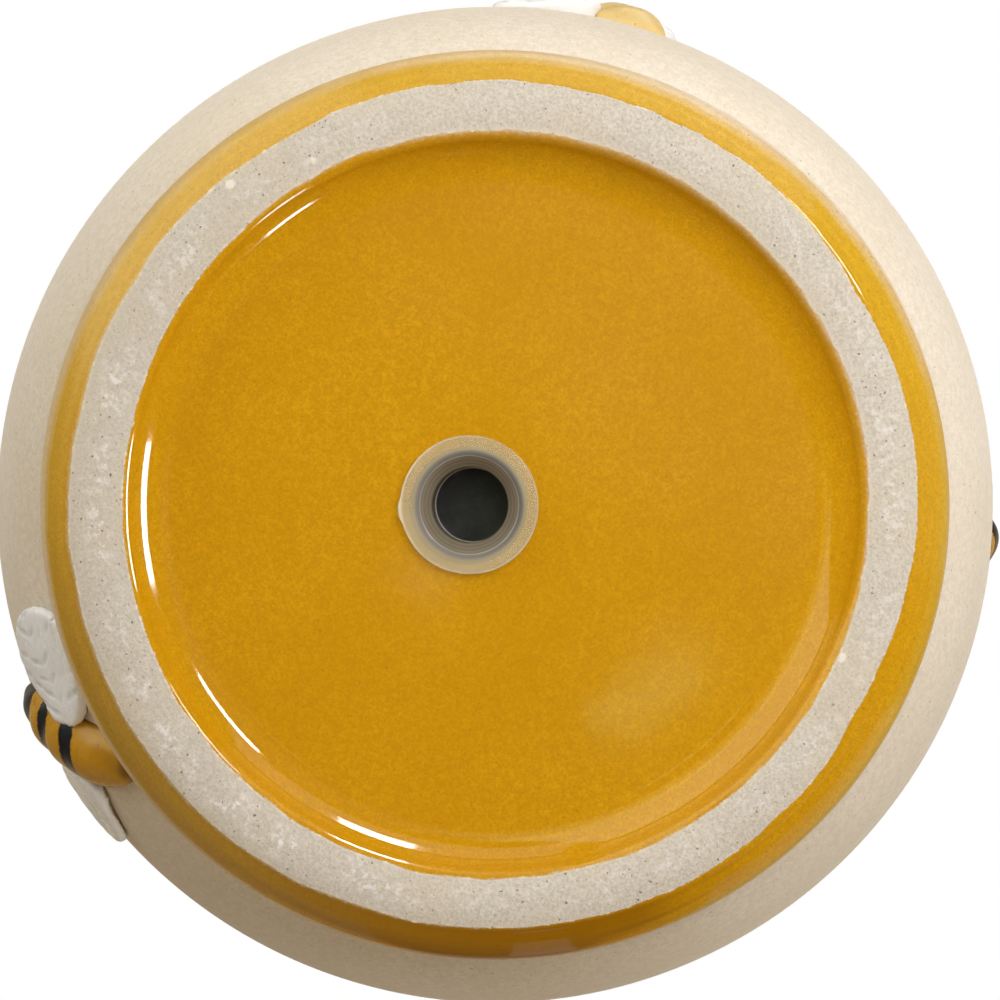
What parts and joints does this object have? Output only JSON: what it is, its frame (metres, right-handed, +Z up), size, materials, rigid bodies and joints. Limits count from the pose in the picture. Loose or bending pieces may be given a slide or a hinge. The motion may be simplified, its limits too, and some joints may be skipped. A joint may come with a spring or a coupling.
{
  "type": "planter pot",
  "caption": "Round stoneware planter with a rolled base band, full belly, necked rolled rim, applied clay bees on the wall and a soft plug in the drain hole under the base.",
  "frame": {"origin": "centre of the foot ring, on the plane the pot stands on", "axes": "+Z up along the pot's axis; the lowest bee is at the front, towards -Y"},
  "size_m": [0.1816, 0.1823, 0.1489],
  "materials": {
    "glazed_stoneware": "speckled cream satin glaze, honey gloss glaze under the base and on the band and rim, bare foot ring",
    "bee_glaze": "gloss, amber with black bands",
    "wing_glaze": "gloss white",
    "clear_soft_plug": "cloudy, see-through soft PVC"
  },
  "bodies": {
    "pot": {"pot_body": "glazed_stoneware", "lower_bee_body": "bee_glaze", "lower_bee_left_wing": "wing_glaze", "lower_bee_right_wing": "wing_glaze", "middle_bee_body": "bee_glaze", "middle_bee_left_wing": "wing_glaze", "middle_bee_right_wing": "wing_glaze", "upper_bee_body": "bee_glaze", "upper_bee_left_wing": "wing_glaze", "upper_bee_right_wing": "wing_glaze"},
    "plug": {"drain_plug": "clear_soft_plug"}
  },
  "joints": [
    {"name": "plug_pull", "type": "slide", "parent": "pot", "child": "plug", "axis": [0, 0, -1], "range_m": [0, 0.03]}
  ]
}
